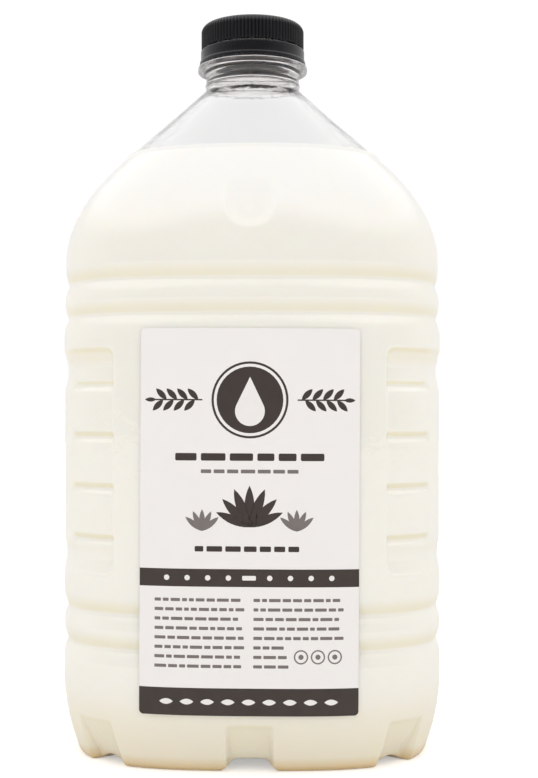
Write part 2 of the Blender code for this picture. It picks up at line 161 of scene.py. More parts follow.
# The plastic's look: hazier up the neck, and how much of it shows where it is seen edge on.
NECK_HAZE_HEIGHTS = (0.2525, 0.2545)
NECK_HAZE = 0.12
THIN_EDGE = (0.6, 0.95)
THIN_EDGE_BODY = 0.35

FILL_HEIGHT = 0.2230
MENISCUS_RISE = 0.0009
MENISCUS_WIDTH = 0.0025
MENISCUS_POWER = 2.5
MENISCUS_SHARES = (0.15, 0.35, 0.6, 1.0)
MILK_TOP_SCALES = (0.8, 0.55, 0.3, 0.1)

# Where the milk's colour changes: paler and whiter high up, a painted highlight; deeper low down and deepest
# at the foot, and warmer where the jug's side turns down, all three painted shade.
HIGHLIGHT_PAINTED_UP = (0.190, 0.210)
SHADE_PAINTED_DOWN = (0.0, 0.031)
FOOT_SHADE_PAINTED = (0.0005, 0.0052)
UNDERSIDE_SHADE_FACING = (-0.08, -0.42)

# Cap and tamper band.
CAP_BOTTOM = 0.2676
CAP_TOP = 0.2770
CAP_FACE_RADIUS = 0.0174
CAP_RECESS_EDGE = ((0.0150, 0.0), (0.0146, 0.0002))
CAP_RECESS_RINGS = (0.0142, 0.0100, 0.0050, 0.0010)
CAP_RECESS = 0.0003
CAP_ROLL_START = 0.2746
CAP_ROLL_LEAN = 0.0001
CAP_LIP = 0.0003
CAP_RIB_FOOT = ((0.0002, 0.6), (0.0005, 1.0))
CAP_SIDE_HEIGHTS = (0.2700, 0.2722, 0.2742)
CAP_RIB_COUNT = 90
CAP_POINTS_PER_RIB = 10
CAP_RIB_ROUNDNESS = 0.7
CAP_RIB_RADIUS = 0.0199
CAP_VALLEY_RADIUS = 0.0194
CAP_BORE_RADIUS = 0.0182
CAP_CEILING = 0.2755
BAND_TOP = 0.2672
BAND_BOTTOM = 0.2612
BAND_TOP_RADIUS = 0.0201
BAND_FOOT_RADIUS = 0.0206
BAND_BORE_RADIUS = 0.0186
BAND_TOP_ROUNDING = 0.0005
BAND_FOOT_ROUNDING = 0.0007
BAND_STEP = ((0.0201, 0.2650), (0.0201, 0.2636), (0.02015, 0.2631), (0.0205, 0.2628), (0.02055, 0.2625))
BAND_POINTS = 240
BRIDGES = 18
BRIDGE_RADIUS = 0.0190
BRIDGE_LEAN = 0.0004
BRIDGE_SIZE = (0.0007, 0.0008, 0.0010)

# Paper label.
LABEL_WIDTH = 0.0768
LABEL_HEIGHT = 0.1350
LABEL_BOTTOM = 0.0210
LABEL_CORNER = 0.0015
LABEL_PAPER = 0.00012
LABEL_LIFT = 0.00025
LABEL_TILT = math.radians(0.3)
INK_LIFT = 0.00002
LABEL_STRIP = 0.0024

# The label's print, in millimetres from the label's middle.
MM_PER_M = 1000
PRINT_SEED = 7
HALF_ACROSS = LABEL_WIDTH / 2 * MM_PER_M
HALF_UP = LABEL_HEIGHT / 2 * MM_PER_M
RING_SPANS = 48

# Rows of dashes: left end, right end, height, thickness, shortest and longest dash, gap.
WIDE_ROW = (-26.0, 26.0, 22.6, 2.6, (5.0, 9.0), 1.5)
FINE_ROW = (-17.0, 17.0, 17.6, 1.3, (2.5, 5.0), 0.9)
LOW_ROW = (-19.0, 19.0, -9.4, 1.9, (3.0, 6.0), 1.1)
COLUMN_ROW = (1.1, (1.6, 4.4), 0.7)

UPPER_BAR = (-22.6, -16.4)
FOOT_BAR_TOP = -57.9
ROUNDEL_HEIGHT = 42.5
ROUNDEL_RING = (13.4, 12.6)
ROUNDEL_RADIUS = 11.6
DROP_HEIGHT = 38.6
DROP_RADIUS = 5.2
SPRIG_STALK = (16.6, 33.4, 0.25)
SPRIG_LEAF_STARTS = (18.0, 21.7, 25.4, 29.1)
SPRIG_STAGGER = 1.2
SPRIG_LEAF = 5.4
SPRIG_LEAN = 44
SPRIG_TIP = (32.8, 4.0)
SPRIG_LEAF_WIDTH = 0.38
BIG_TUFT_HEIGHT = -1.8
BIG_TUFT_TURNS = (24, 46, 68, 90, 112, 134, 156)
SMALL_TUFT = (16.5, -3.2)
SMALL_TUFT_TURNS = (40, 65, 90, 115, 140)
LEFT_COLUMN = (-33.0, -1.6)
RIGHT_COLUMN = (1.6, 33.0)
RIGHT_COLUMN_SHORT = (1.6, 14.1)
ROW_HEIGHTS = (-27.2, -30.5, -33.8, -37.1, -40.4, -43.7, -47.0, -50.3)
FULL_ROWS = 5
LITTLE_RINGS = (18.2, 24.1, 30.0)
LITTLE_RING_HEIGHT = -46.9
BAR_SPACING = 7.2
BAR_DOT_HEIGHT = -19.5
BAR_DASH = (2.4, 0.8)
FOOT_LEAF_HEIGHT = -62.7

FULL_TURN = 2 * math.pi

# The white studio: how bright it is where it lights the jug, where the jug's gloss mirrors it,
# and where it is seen past the jug and through the clear plastic.
ROOM_SIDES = 1.18
ROOM_OVERHEAD = 0.985
OVERHEAD_EDGE = (0.2, 0.9)
MIRRORED_FRONT = 0.22
MIRRORED_BACK = 0.92
MIRRORED_OVERHEAD = 1.75
MIRRORED_EDGE = (0.52, 0.84)
MIRRORED_SPREAD = 0.35
MIRRORED_ASIDE = 0.5
FRONT_EDGE = (-0.92, 0.5)
SEEN_BEHIND = 1.03
SEEN_THROUGH = 0.80
FLOOR_COLOUR = (0.84, 0.83, 0.82)
FLOOR_GLOW = 0.40

# The camera: level, in front of the jug and turned a little to the right.
CAMERA_TURN = math.radians(1.1)
CAMERA_DISTANCE = 0.5421
CAMERA_HEIGHT = 0.1254
CAMERA_LENS = 64.32
CAMERA_SENSOR = 36
CAMERA_SHIFT = (0.0211, 0.0347)


# Shapes

def ease(share):
    """A smooth step from 0 to 1."""
    share = np.clip(share, 0.0, 1.0)
    return share * share * (3 - 2 * share)


def hump(offset, half_width):
    """A cosine swell, 1 in the middle and 0 from half_width out."""
    return (1 + np.cos(math.pi * np.clip(np.abs(offset) / half_width, 0, 1))) / 2


def stepped(start, end, coarse, fine, fine_stretches):
    """Values from start to end, closer together inside the fine stretches."""
    values = [start]
    while values[-1] < end:
        here = values[-1]
        close = any(low <= here < high for low, high in fine_stretches)
        upcoming = [low for low, _ in fine_stretches if low > here + 1e-9]
        step = fine if close else min([coarse] + [low - here for low in upcoming])
        values.append(here + step)
    values[-1] = end
    if values[-1] - values[-2] < fine / 2:
        del values[-2]
    return values


def turn_angles():
    """Angles right round the jug, in radians, close together at each upright edge of its relief."""
    quarter = stepped(0.0, 90.0, COARSE_TURN, FINE_TURN, FINE_TURNS)
    half = quarter + [180 - angle for angle in reversed(quarter[:-1])]
    return np.radians(half + [180 + angle for angle in half[1:-1]])


def side_heights():
    """Heights up the jug's side, close together in the grooves, ribs, grip ends and thumb mark."""
    stretches = [(middle - GROOVE_FINE, middle + GROOVE_FINE) for middle in GROOVE_HEIGHTS]
    stretches += [(middle - RIB_FINE, middle + RIB_FINE) for middle in GRIP_RIBS]
    outside, inside = GRIP_END_FINE
    stretches += [(GRIP_BOTTOM - outside, GRIP_BOTTOM + inside), (GRIP_TOP - inside, GRIP_TOP + outside)]
    below, over, under, above = DENT_ENDS_FINE
    stretches += [(DENT_BOTTOM - below, DENT_BOTTOM + over), (DENT_TOP - under, DENT_TOP + above)]
    stretches += [(FOOT_ROLL_TOP, NOTCH_TOP + NOTCH_TOP_FINE)]
    merged = []
    for low, high in sorted(stretches):
        if merged and low <= merged[-1][1]:
            merged[-1] = (merged[-1][0], max(high, merged[-1][1]))
        else:
            merged.append((low, high))
    return stepped(FOOT_ROLL_TOP, FILL_HEIGHT, COARSE_HEIGHT, FINE_HEIGHT, merged)


def shoulder_half_width(height):
    """The shoulder's half-width: a curve that steepens evenly, then the straight cone."""
    rise = CONE_START - SHOULDER_START
    below = np.clip(height - SHOULDER_START, 0.0, rise)
    above = np.maximum(height - CONE_START, 0.0)
    return SHOULDER_HALF_WIDTH - CONE_SLOPE * (below**2 / (2 * rise) + above)


def plain_half_width(height):
    """The jug's half-width without its relief, from the foot's top upwards."""
    lean = ease((height - GRIP_TOP) / (SHOULDER_START - GRIP_TOP))
    upright = BODY_HALF_WIDTH - lean * (BODY_HALF_WIDTH - SHOULDER_HALF_WIDTH)
    return np.where(height > SHOULDER_START, shoulder_half_width(height), upright)


def reach(angles, half_width, inset):
    """How far a level section lies from the axis at each angle."""
    share = (half_width - NECK_RADIUS) / (BODY_HALF_WIDTH - NECK_RADIUS)
    half_depth = NECK_RADIUS + share * (BODY_HALF_DEPTH - NECK_RADIUS)
    power = NECK_SQUARENESS + share * (BODY_SQUARENESS - NECK_SQUARENESS)
    across = np.abs(np.cos(angles)) / (half_width - inset)
    along = np.abs(np.sin(angles)) / (half_depth - inset)
    return (across**power + along**power) ** (-1 / power)


def from_side(angles):
    """The angle to the nearer end of the X axis, in degrees."""
    return np.degrees(np.arctan2(np.abs(np.sin(angles)), np.abs(np.cos(angles))))


def side_inset(height):
    """What the foot's curve and the rolled grooves take off the side all round."""
    drop = max(0.0, (FOOT_TOP - height) / (FOOT_TOP - FOOT_ROLL_TOP))
    offsets = [math.hypot(height - middle, GROOVE_CREASE_ROUNDING) for middle in GROOVE_HEIGHTS]
    shares = [max(0.0, 1 - offset / GROOVE_HALF_WIDTH) for offset in offsets]
    grooves = GROOVE_DEPTH * sum(share**GROOVE_FLANK_POWER for share in shares)
    return FOOT_ROLL_INSET * drop**FOOT_CURVE_POWER + grooves


def grip_depth(angles, height):
    """How far the grips sink the two narrow sides."""
    from_edge = np.radians(GRIP_EDGE_ANGLE - from_side(angles)) * BODY_HALF_WIDTH
    from_end = min(height - GRIP_BOTTOM, GRIP_TOP - height)
    inside = np.minimum(from_edge, from_end)
    corner = np.hypot(GRIP_CORNER_RADIUS - from_edge, GRIP_CORNER_RADIUS - from_end)
    in_corner = (from_edge < GRIP_CORNER_RADIUS) & (from_end < GRIP_CORNER_RADIUS)
    inside = np.where(in_corner, GRIP_CORNER_RADIUS - corner, inside)
    rib = sum(GRIP_RIB_DEPTH * hump(height - middle, GRIP_RIB_HALF_WIDTH) for middle in GRIP_RIBS)
    pad = ease((from_side(angles) - GRIP_SPINE_ANGLE) / (2 * GRIP_SPINE_BLEND) + 0.5)
    floor = GRIP_SPINE_DEPTH + pad * (GRIP_PAD_DEPTH + rib - GRIP_SPINE_DEPTH)
    sunk = ease(inside / GRIP_EDGE_WALL) * floor
    for middle, half_width, depth in GRIP_VALLEYS:
        sunk = sunk + ease(from_edge / GRIP_EDGE_WALL) * depth * hump(height - middle, half_width)
    return sunk


def dent_depth(angles, height, distance):
    """The thumb mark: a U with a round bottom, its floor cut flat across the shoulder's curve."""
    across = distance * np.cos(angles)
    below = min(0.0, height - DENT_BOTTOM - DENT_HALF_WIDTH)
    inside = DENT_HALF_WIDTH - np.hypot(across, below)
    share = np.clip((height - DENT_BOTTOM) / (DENT_TOP - DENT_BOTTOM), 0, 1)
    floor = DENT_CUT * 4 * share * (1 - share) + DENT_STEP * (1 - share)
    return ease(inside / DENT_WALL) * floor


def notch_relief(angles, height, distance):
    """How deep the notches sink the side here, and how high they lift the base."""
    side = from_side(angles)
    depth = np.zeros_like(angles)
    crest = np.zeros_like(angles)
    nearest = np.argmin([np.abs(side - notch[0]) for notch in NOTCHES], axis=0)
    for i, (middle, floor_half, crest_half, clearance) in enumerate(NOTCHES):
        sideways = distance * np.sin(np.radians(np.abs(side - middle)))
        down = (NOTCH_TOP - height) / (NOTCH_TOP - NOTCH_FULL_DEPTH_HEIGHT)
        roof = ease((NOTCH_TOP - height) / NOTCH_TOP_WALL)
        across = ease((NOTCH_HALF_WIDTH + NOTCH_SIDE_WALL - sideways) / NOTCH_SIDE_WALL)
        sloped = (1 - NOTCH_ROOF_SHARE) * min(1.0, max(0.0, down))
        sunk = NOTCH_DEPTH * (NOTCH_ROOF_SHARE * roof + sloped) * across
        lift = clearance * ease((floor_half - sideways) / (floor_half - crest_half))
        depth = np.where(nearest == i, sunk, depth)
        crest = np.where(nearest == i, lift, crest)
    return depth, crest


def with_seam(outside):
    """The rings with the mould's parting line, a hair proud up the shoulder, cone and neck."""
    height = outside[:, :, 2]
    away = np.hypot(outside[:, :, 0], outside[:, :, 1])
    on_neck = ease((height - NECK_SEAM_START) / NECK_SEAM_RISE)
    proud = SEAM_HEIGHT + (NECK_SEAM_HEIGHT - SEAM_HEIGHT) * on_neck
    proud *= ease((height - SEAM_START) / SEAM_RISE) * ease((RING_UNDERSIDE - height) / SEAM_END_RISE)
    proud *= hump(outside[:, :, 0], SEAM_HALF_WIDTH)
    scale = 1 + proud / np.maximum(away, 1e-6)
    return outside * np.stack([scale, scale, np.ones_like(scale)], axis=2)


def relief_ring(angles, height, half_width, inset, scale=1.0):
    """One level ring of the jug's outside, with its relief."""
    distance = reach(angles, half_width, inset) * scale
    sunk = grip_depth(angles, height) + dent_depth(angles, height, distance)
    heights = np.full_like(angles, height)
    if height < NOTCH_TOP:
        depth, crest = notch_relief(angles, height, distance)
        sunk = sunk + depth
        rounding = np.minimum(NOTCH_CREST_ROUNDING, crest / 2)
        spread = np.sqrt((heights - crest) ** 2 + rounding**2)
        heights = (heights + crest + spread) / 2
    distance = distance - sunk
    return np.stack([distance * np.cos(angles), distance * np.sin(angles), heights], axis=1)


def level_ring(angles, radius, height):
    """A level ring whose radius is one number, or one for each angle."""
    return np.stack([radius * np.cos(angles), radius * np.sin(angles), np.full_like(angles, height)], axis=1)


def round_rings(angles, outline):
    """Level circles from (radius, height) pairs."""
    return [level_ring(angles, radius, height) for radius, height in outline]


def base_rings(angles):
    """The underside: gate nub, dome, and the flats and notches of the feet."""
    rings = []
    for scale in DOME_SCALES + FLAT_SCALES:
        share = min(1.0, scale / FLOOR_INNER_SCALE)
        height = DOME_PEAK * (1 + math.cos(math.pi * share**DOME_POWER)) / 2
        height -= GATE_NUB_DROP * float(ease((GATE_NUB_SCALE - scale) / GATE_NUB_ROUNDING))
        rings.append(relief_ring(angles, height, BODY_HALF_WIDTH, FLOOR_EDGE_INSET, scale))
    corner_inset, corner_height = FOOT_ROLL_CORNER
    for share in np.linspace(0, 1, 9)[:-1]:
        low, middle, high = (1 - share) ** 2, 2 * share * (1 - share), share**2
        inset = low * FLOOR_EDGE_INSET + middle * corner_inset + high * FOOT_ROLL_INSET
        height = middle * corner_height + high * FOOT_ROLL_TOP
        rings.append(relief_ring(angles, height, BODY_HALF_WIDTH, inset))
    return rings


def side_rings(angles):
    """The side, from the top of the foot's roll up to the milk's level."""
    rings = []
    for height in side_heights():
        half_width = BODY_HALF_WIDTH if height < GRIP_BOTTOM else float(plain_half_width(height))
        rings.append(relief_ring(angles, height, half_width, side_inset(height)))
    return rings


def neck_corner():
    """Start, corner and end of the fillet between cone and neck, as (radius, height)."""
    joint = CONE_START + (float(shoulder_half_width(CONE_START)) - NECK_RADIUS) / CONE_SLOPE
    low = joint - NECK_FILLET / math.hypot(1, CONE_SLOPE)
    low_radius = NECK_RADIUS + (joint - low) * CONE_SLOPE
    return (low_radius, low), (NECK_RADIUS, joint), (NECK_RADIUS, joint + NECK_FILLET)


def curve_between(start, corner, end, spans):
    """Points of a quadratic curve from start to end, drawn towards the corner."""
    points = []
    for share in np.linspace(0, 1, spans + 1):
        weights = ((1 - share) ** 2, 2 * share * (1 - share), share**2)
        pulls = zip(weights, (start, corner, end))
        points.append(tuple(sum(weight * np.array(point) for weight, point in pulls).tolist()))
    return points


def rounded_top(radius, height, rounding, spans):
    """The rounded upper edge of a ring or tube, going up and inwards."""
    return curve_between((radius, height - rounding), (radius, height), (radius - rounding, height), spans)


def cone_rings(angles):
    top = neck_corner()[0][1]
    return [
        relief_ring(angles, height, float(shoulder_half_width(height)), 0.0)
        for height in np.linspace(FILL_HEIGHT, top, 16)[1:-1]
    ]


def neck_outline():
    """Fillet, bead, skirt, carrying ring and finish, as (radius, height) going up."""
    outline = curve_between(*neck_corner(), 8)
    bead, proud, half = NECK_BEAD
    for height in np.linspace(bead - half, bead + half, 7):
        outline.append((NECK_RADIUS + proud * float(hump(height - bead, half)), height))
    skirt = (NECK_RADIUS, RING_SKIRT - SKIRT_ROUNDING)
    skirt_corner = (NECK_RADIUS, RING_SKIRT + SKIRT_ROUNDING)
    skirt_end = (RING_RADIUS - RING_EDGE, RING_UNDERSIDE)
    outline += curve_between(skirt, skirt_corner, skirt_end, 7)
    ring_low = (RING_RADIUS, RING_UNDERSIDE + RING_EDGE)
    outline += curve_between(skirt_end, (RING_RADIUS, RING_UNDERSIDE), ring_low, 4)[1:]
    outline += rounded_top(RING_RADIUS, RING_TOP, RING_EDGE, 4)
    outline += [(FINISH_RADIUS + FINISH_FILLET, RING_TOP), (FINISH_RADIUS, RING_TOP + FINISH_FILLET)]
    return outline + rounded_top(FINISH_RADIUS, RIM_HEIGHT, RIM_ROUNDING, 3)


def bore_outline():
    """The neck's bore going down, opening out into the thin wall under the carrying ring."""
    wall = THIN_NECK_WALL
    (low_radius, low), (_, joint), (_, high) = neck_corner()
    run = math.hypot(1, CONE_SLOPE)
    corner = (NECK_RADIUS - wall, joint + wall * (1 - run) / CONE_SLOPE)
    foot = (low_radius - wall / run, low - wall * CONE_SLOPE / run)
    outline = [(BORE_RADIUS + BORE_CHAMFER, RIM_HEIGHT), (BORE_RADIUS, RIM_HEIGHT - BORE_CHAMFER)]
    outline += [(BORE_RADIUS, height) for height in BORE_HEIGHTS]
    thin_top = (NECK_RADIUS - wall, THIN_NECK_TOP)
    thin_corner = (BORE_RADIUS, THIN_NECK_TOP + THIN_NECK_ROUNDING)
    outline += curve_between((BORE_RADIUS, BORE_FOOT), thin_corner, thin_top, 7)
    return outline + curve_between((NECK_RADIUS - wall, high), corner, foot, 8)


def sunk_in(grid, depth):
    """The grid of rings moved inwards along its own normals."""
    around = np.roll(grid, -1, axis=1) - np.roll(grid, 1, axis=1)
    upwards = np.gradient(grid, axis=0)
    normals = np.cross(around, upwards)
    normals /= np.maximum(np.linalg.norm(normals, axis=2, keepdims=True), 1e-12)
    return grid - depth * normals


# Meshes

def lofted(name, grid, start=None, end=None, closed=False):
    """A mesh skinned over a stack of rings, closed with a fan at start and end or back on itself."""
    rows, columns, _ = grid.shape
    points = grid.reshape(-1, 3)
    index = np.arange(rows * columns).reshape(rows, columns)
    lower = index if closed else index[:-1]
    upper = np.roll(index, -1, axis=0) if closed else index[1:]
    quads = np.stack([lower, np.roll(lower, -1, axis=1), np.roll(upper, -1, axis=1), upper], axis=2)
    faces = quads.reshape(-1, 4).tolist()
    for point, ring, turned in ((start, index[0], True), (end, index[-1], False)):
        if point is None:
            continue
        middle = len(points)
        points = np.vstack([points, [point]])
        following = np.roll(ring, -1)
        pairs = zip(following, ring) if turned else zip(ring, following)
        faces += [(int(a), int(b), middle) for a, b in pairs]
    data = bpy.data.meshes.new(name)
    data.from_pydata(points.tolist(), [], faces)
    data.update()
    return data


def dressed(name, data, material, replaced=(), sharp_above=None):
    """Makes the object of a mesh, with its material and the solids that it stands for."""
    data.shade_smooth()
    if sharp_above is not None:
        data.set_sharp_from_angle(angle=math.radians(sharp_above))
    data.materials.append(material)
    piece = bpy.data.objects.new(name, data)
    bpy.context.scene.collection.objects.link(piece)
    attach(piece, "root")
    if replaced:
        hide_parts(*replaced)
    return piece


def bmesh_data(name, mesh):
    bmesh.ops.recalc_face_normals(mesh, faces=mesh.faces)
    data = bpy.data.meshes.new(name)
    mesh.to_mesh(data)
    mesh.free()
    return data


# Shader help

def new_material(name):
    material = bpy.data.materials.new(name)
    material.use_nodes = True
    nodes = material.node_tree.nodes
    return material, nodes, material.node_tree.links, nodes["Principled BSDF"]


def node(nodes, kind, **values):
    """A node with its properties set, and its inputs where a value's name is one of theirs."""
    made = nodes.new(kind)
    for key, value in values.items():
        label = key.replace("_", " ").title()
        if label in made.inputs:
            made.inputs[label].default_value = value
        else:
            setattr(made, key, value)
    return made


def new_group(name, inputs, outputs):
    """A shader node group with its named sockets: inputs as (name, default), outputs as (name, kind)."""
    group = bpy.data.node_groups.new(name, "ShaderNodeTree")
    for socket, default in inputs:
        kind = "NodeSocketVector" if default is None else "NodeSocketFloat"
        made = group.interface.new_socket(socket, in_out="INPUT", socket_type=kind)
        if default is not None:
            made.default_value = default
    for socket, kind in outputs:
        group.interface.new_socket(socket, in_out="OUTPUT", socket_type=kind)
    return group, group.nodes.new("NodeGroupInput"), group.nodes.new("NodeGroupOutput")


def placed(nodes, group, **values):
    made = nodes.new("ShaderNodeGroup")
    made.node_tree = group
    for key, value in values.items():
        made.inputs[key.replace("_", " ").title()].default_value = value
    return made


def moulded_grain_group():
    """Fine grain over slow swells, as moulded plastic and paper both have."""
    group, given, out = new_group(
        "moulded grain",
        (("Position", None), ("Grain Size", 0.0004), ("Swell Size", 0.02), ("Swell Share", 0.5)),
        (("Height", "NodeSocketFloat"), ("Mottle", "NodeSocketFloat")),
    )
    nodes, links = group.nodes, group.links
    per_grain = node(nodes, "ShaderNodeMath", operation="DIVIDE")
    per_grain.inputs[0].default_value = 1.0
    per_swell = node(nodes, "ShaderNodeMath", operation="DIVIDE")
    per_swell.inputs[0].default_value = 1.0
    grain = node(nodes, "ShaderNodeTexNoise", detail=3.0, roughness=0.6)
    swell = node(nodes, "ShaderNodeTexNoise", detail=2.0, roughness=0.45)
    height = node(nodes, "ShaderNodeMix", data_type="FLOAT")
    links.new(given.outputs["Grain Size"], per_grain.inputs[1])
    links.new(given.outputs["Swell Size"], per_swell.inputs[1])
    links.new(per_grain.outputs[0], grain.inputs["Scale"])
    links.new(per_swell.outputs[0], swell.inputs["Scale"])
    links.new(given.outputs["Position"], grain.inputs["Vector"])
    links.new(given.outputs["Position"], swell.inputs["Vector"])
    links.new(given.outputs["Swell Share"], height.inputs[0])
    links.new(grain.outputs[0], height.inputs[2])
    links.new(swell.outputs[0], height.inputs[3])
    links.new(height.outputs[0], out.inputs["Height"])
    links.new(swell.outputs[0], out.inputs["Mottle"])
    return group


MOULDED_GRAIN = moulded_grain_group()


def grained(nodes, links, shader, bump, **values):
    """Places the grain group on object positions and bumps the shader with it."""
    place = nodes.new("ShaderNodeTexCoord")
    grain = placed(nodes, MOULDED_GRAIN, **values)
    links.new(place.outputs["Object"], grain.inputs["Position"])
    bumped = node(nodes, "ShaderNodeBump", strength=1.0, distance=bump)
    links.new(grain.outputs["Height"], bumped.inputs["Height"])
    links.new(bumped.outputs["Normal"], shader.inputs["Normal"])
    return place, grain


def ranged(nodes, links, source, low, high, start=0.0, end=1.0, kind="LINEAR"):
    """Maps a value from start..end to low..high."""
    made = node(nodes, "ShaderNodeMapRange", interpolation_type=kind)
    for socket, value in zip(("From Min", "From Max", "To Min", "To Max"), (start, end, low, high)):
        made.inputs[socket].default_value = value
    links.new(source, made.inputs["Value"])
    return made.outputs["Result"]


def mixed(nodes, links, share, first, second):
    """A colour between two, which are colours or sockets."""
    made = node(nodes, "ShaderNodeMix", data_type="RGBA")
    links.new(share, made.inputs[0])
    for socket, colour in ((made.inputs[6], first), (made.inputs[7], second)):
        if isinstance(colour, tuple):
            socket.default_value = (*colour, 1)
        else:
            links.new(colour, socket)
    return made.outputs[2]


# Materials

def clear_plastic():
    """Blown clear plastic. It lets the room's light through to the milk, and stays pale at its thin edges."""
    material, nodes, links, shader = new_material("clear_blown_plastic")
    shader.inputs["Metallic"].default_value = 0.0
    shader.inputs["Transmission Weight"].default_value = 1.0
    shader.inputs["IOR"].default_value = 1.57
    place, grain = grained(
        nodes, links, shader, 0.0004, grain_size=0.012, swell_size=0.035, swell_share=0.6
    )
    split = nodes.new("ShaderNodeSeparateXYZ")
    links.new(place.outputs["Object"], split.inputs[0])
    neck = ranged(nodes, links, split.outputs["Z"], 0.0, 1.0, *NECK_HAZE_HEIGHTS)
    blown = mixed(nodes, links, grain.outputs["Mottle"], (0.965, 0.972, 0.972), (0.985, 0.988, 0.987))
    links.new(mixed(nodes, links, neck, blown, (0.950, 0.922, 0.918)), shader.inputs["Base Color"])
    gloss = ranged(nodes, links, grain.outputs["Mottle"], 0.02, 0.07, 0.3, 0.7)
    haze = ranged(nodes, links, neck, 0.0, NECK_HAZE)
    rough = node(nodes, "ShaderNodeMath", operation="ADD")
    links.new(gloss, rough.inputs[0])
    links.new(haze, rough.inputs[1])
    links.new(rough.outputs[0], shader.inputs["Roughness"])
    ray = nodes.new("ShaderNodeLightPath")
    lighting = node(nodes, "ShaderNodeMath", operation="MAXIMUM")
    links.new(ray.outputs["Is Shadow Ray"], lighting.inputs[0])
    links.new(ray.outputs["Is Diffuse Ray"], lighting.inputs[1])
    edge = node(nodes, "ShaderNodeLayerWeight", blend=0.5)
    body = node(nodes, "ShaderNodeMath", operation="MULTIPLY")
    links.new(ranged(nodes, links, edge.outputs["Facing"], 1.0, THIN_EDGE_BODY, *THIN_EDGE), body.inputs[0])
    links.new(ranged(nodes, links, lighting.outputs[0], 1.0, 0.0), body.inputs[1])
    links.new(body.outputs[0], shader.inputs["Alpha"])
    return material


def whole_milk():
    """Milk against the plastic: warm white, faintly streaked with cream, with painted shade low in the jug,
    at the foot and where it faces down, and a painted highlight high up.
    """
    material, nodes, links, shader = new_material("whole_milk")
    shader.inputs["Subsurface Weight"].default_value = 0.35
    shader.inputs["Subsurface Radius"].default_value = (1.0, 0.75, 0.5)
    shader.inputs["Subsurface Scale"].default_value = 0.004
    shader.inputs["Specular IOR Level"].default_value = 0.1
    shader.inputs["IOR"].default_value = 1.35
    place, grain = grained(nodes, links, shader, 0.0001, grain_size=0.006, swell_size=0.03, swell_share=0.7)
    split = nodes.new("ShaderNodeSeparateXYZ")
    links.new(place.outputs["Object"], split.inputs[0])
    # painted shade: the milk darkens and warms towards the bottom of the jug
    painted_low_shade = ranged(nodes, links, split.outputs["Z"], 1.0, 0.0, *SHADE_PAINTED_DOWN)
    streaked = mixed(nodes, links, grain.outputs["Mottle"], (0.895, 0.864, 0.785), (0.905, 0.882, 0.815))
    # painted shade: a deep brown band on the milk at the very foot
    painted_foot_shade = ranged(nodes, links, split.outputs["Z"], 1.0, 0.0, *FOOT_SHADE_PAINTED)
    normal = nodes.new("ShaderNodeNewGeometry")
    facing = nodes.new("ShaderNodeSeparateXYZ")
    links.new(normal.outputs["Normal"], facing.inputs[0])
    # painted shade: warmer, darker milk where the surface faces down
    painted_underside_shade = ranged(nodes, links, facing.outputs["Z"], 0.0, 1.0, *UNDERSIDE_SHADE_FACING)
    # painted highlight: paler, whiter milk high up on the shoulder
    painted_highlight_share = ranged(nodes, links, split.outputs["Z"], 0.0, 1.0, *HIGHLIGHT_PAINTED_UP)
    with_painted_highlight = mixed(nodes, links, painted_highlight_share, streaked, (0.892, 0.882, 0.850))
    with_underside_shade = mixed(nodes, links, painted_underside_shade, with_painted_highlight, (0.86, 0.805, 0.63))
    with_low_shade = mixed(nodes, links, painted_low_shade, with_underside_shade, (0.848, 0.785, 0.64))
    links.new(mixed(nodes, links, painted_foot_shade, with_low_shade, (0.72, 0.53, 0.27)), shader.inputs["Base Color"])
    links.new(ranged(nodes, links, grain.outputs["Mottle"], 0.30, 0.45), shader.inputs["Roughness"])
    return material


def black_plastic(name, roughness):
    """Moulded black closure plastic with a satin bloom and paler rubbed places."""
    material, nodes, links, shader = new_material(name)
    shader.inputs["IOR"].default_value = 1.42
    _, grain = grained(nodes, links, shader, 0.00006, grain_size=0.0005, swell_size=0.006, swell_share=0.35)
    colour = mixed(nodes, links, grain.outputs["Mottle"], (0.0022, 0.0020, 0.0034), (0.0052, 0.0048, 0.0075))
    links.new(colour, shader.inputs["Base Color"])
    rough = ranged(nodes, links, grain.outputs["Mottle"], roughness - 0.05, roughness + 0.07)
    links.new(rough, shader.inputs["Roughness"])
    return material


def coated_paper():
    """Smooth white label stock with a faint fibre."""
    material, nodes, links, shader = new_material("coated_label_paper")
    _, grain = grained(nodes, links, shader, 0.00004, grain_size=0.0009, swell_size=0.012, swell_share=0.3)
    colour = mixed(nodes, links, grain.outputs["Mottle"], (0.865, 0.835, 0.815), (0.885, 0.858, 0.840))
    links.new(colour, shader.inputs["Base Color"])
    links.new(ranged(nodes, links, grain.outputs["Mottle"], 0.42, 0.55), shader.inputs["Roughness"])
    return material


def printing_ink(name, thin, full):
    """Flat ink on the label, a little uneven as printed areas are."""
    material, nodes, links, shader = new_material(name)
    _, grain = grained(nodes, links, shader, 0.00003, grain_size=0.0006, swell_size=0.005, swell_share=0.4)
    links.new(mixed(nodes, links, grain.outputs["Mottle"], thin, full), shader.inputs["Base Color"])
    links.new(ranged(nodes, links, grain.outputs["Mottle"], 0.38, 0.52), shader.inputs["Roughness"])
    return material


# The jug and its milk

